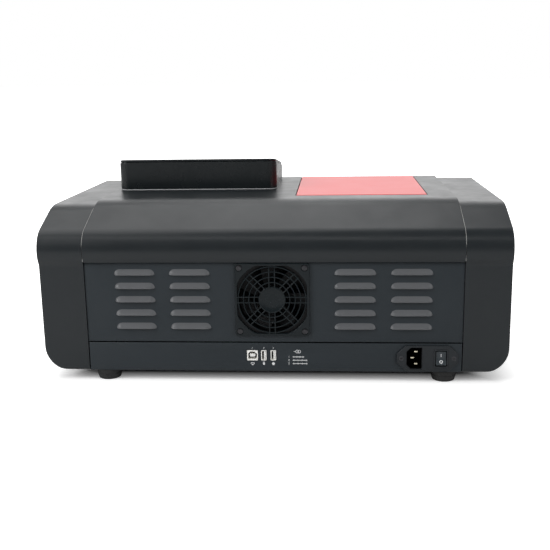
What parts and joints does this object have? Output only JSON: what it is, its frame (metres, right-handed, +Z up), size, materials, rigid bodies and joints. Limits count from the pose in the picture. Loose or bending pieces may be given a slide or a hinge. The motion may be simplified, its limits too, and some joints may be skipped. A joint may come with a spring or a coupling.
{
  "type": "benchtop spectrophotometer",
  "caption": "Benchtop light-absorption measuring instrument with a hinged sample lid, tilted display, vented rear panel with fan, and a pull-rod cell changer.",
  "frame": {"origin": "on the table under the middle of the overall box", "axes": "+X to the operator's right, +Y to the rear panel, +Z up"},
  "size_m": [0.515, 0.434, 0.23],
  "materials": {
    "case_plastic": "fine-textured satin black moulding",
    "housing_plastic": "smooth satin black moulding",
    "chassis_paint": "fine powder coat, dark slate",
    "lid_red": "satin red moulding",
    "black_plastic": "moulded black plastic",
    "rubber_black": "matt black rubber",
    "zinc_steel": "zinc plated",
    "bright_steel": "ground steel",
    "brass_parts": "turned brass",
    "circuit_board": "green solder mask",
    "quartz": "clear quartz",
    "black_anodised": "black anodised",
    "cover_glass": "black-backed glass",
    "bare_aluminium": "machined",
    "cast_base": "cast, bead blasted",
    "mirror_coat": "first-surface coating",
    "painted_steel": "dark grey paint",
    "motor_black": "black enamel",
    "supply_cage": "galvanised sheet"
  },
  "bodies": {
    "cabinet": {"base_tray": "chassis_paint", "rear_panel": "chassis_paint", "top_cover": "case_plastic", "left_cheek": "case_plastic", "right_cheek": "case_plastic", "front_fascia": "chassis_paint", "rubber_feet": "rubber_black", "foot_screws": "zinc_steel", "cheek_screws": "zinc_steel", "fan_guard": "black_plastic", "fan_frame": "black_plastic", "fan_screws": "zinc_steel", "power_inlet": "black_plastic", "inlet_pins": "brass_parts", "inlet_screws": "zinc_steel", "usb_b_socket": "zinc_steel", "usb_a_sockets": "zinc_steel", "port_board": "circuit_board", "hinge_pin": "bright_steel", "hinge_brackets": "zinc_steel", "sample_tub": "black_plastic", "beam_windows": "quartz", "cell_rail": "bright_steel", "rod_bush": "brass_parts", "display_housing": "housing_plastic", "touch_glass": "cover_glass", "lcd_module": "bare_aluminium", "display_board": "circuit_board", "optical_bench": "cast_base", "bench_posts": "bare_aluminium", "mono_case": "black_anodised", "mono_lid": "black_anodised", "slit_plates": "black_plastic", "collimating_mirror": "mirror_coat", "focusing_mirror": "mirror_coat", "fold_mirror": "mirror_coat", "grating_motor": "motor_black", "drive_belt": "rubber_black", "filter_motor": "bare_aluminium", "lamp_house": "painted_steel", "deuterium_lamp": "quartz", "tungsten_lamp": "quartz", "mirror_motor": "bare_aluminium", "detector_box": "black_anodised", "power_supply": "supply_cage", "lamp_supply": "supply_cage", "main_board": "circuit_board", "board_standoffs": "brass_parts"},
    "lid": {"sample_lid": "lid_red", "lid_grip": "black_plastic"},
    "fan": {"fan_rotor": "black_plastic"},
    "rocker": {"power_rocker": "black_plastic"},
    "cell_changer": {"cell_carriage": "black_anodised", "pull_rod": "bright_steel", "rod_knob": "black_plastic"},
    "grating_turret": {"grating_table": "bare_aluminium", "grating": "mirror_coat"},
    "drive_pulley": {"motor_pulley": "bare_aluminium"},
    "filter_disc": {"filter_wheel": "bare_aluminium"},
    "lamp_selector": {"lamp_mirror": "mirror_coat"}
  },
  "joints": [
    {"name": "lid_hinge", "type": "hinge", "parent": "cabinet", "child": "lid", "pos_m": [-0.0995, 0.103, 0.19], "axis": [-1, 0, 0], "range_deg": [0, 80]},
    {"name": "fan_spin", "type": "hinge", "parent": "cabinet", "child": "fan", "pos_m": [0, 0.1965, 0.0944], "axis": [0, 1, 0], "continuous": true},
    {"name": "rocker_tip", "type": "hinge", "parent": "cabinet", "child": "rocker", "pos_m": [-0.1842, 0.2112, 0.0286], "axis": [-1, 0, 0], "range_deg": [0, 18]},
    {"name": "changer_slide", "type": "slide", "parent": "cabinet", "child": "cell_changer", "axis": [0, -1, 0], "range_m": [0, 0.048]},
    {"name": "grating_turn", "type": "hinge", "parent": "cabinet", "child": "grating_turret", "pos_m": [0.065, 0.004, 0.06], "axis": [0, 0, 1], "range_deg": [-10, 40]},
    {"name": "pulley_turn", "type": "hinge", "parent": "cabinet", "child": "drive_pulley", "pos_m": [0.065, -0.034, 0.04], "axis": [0, 0, 1], "range_deg": [-30, 120]},
    {"name": "filter_turn", "type": "hinge", "parent": "cabinet", "child": "filter_disc", "pos_m": [0.134, 0.055, 0.086], "axis": [0, 1, 0], "continuous": true},
    {"name": "lamp_select", "type": "hinge", "parent": "cabinet", "child": "lamp_selector", "pos_m": [0.117, 0.104, 0.086], "axis": [0, 0, 1], "range_deg": [0, 90]}
  ],
  "couplings": [
    {"joint": "pulley_turn", "follows": "grating_turn", "ratio": 3}
  ]
}
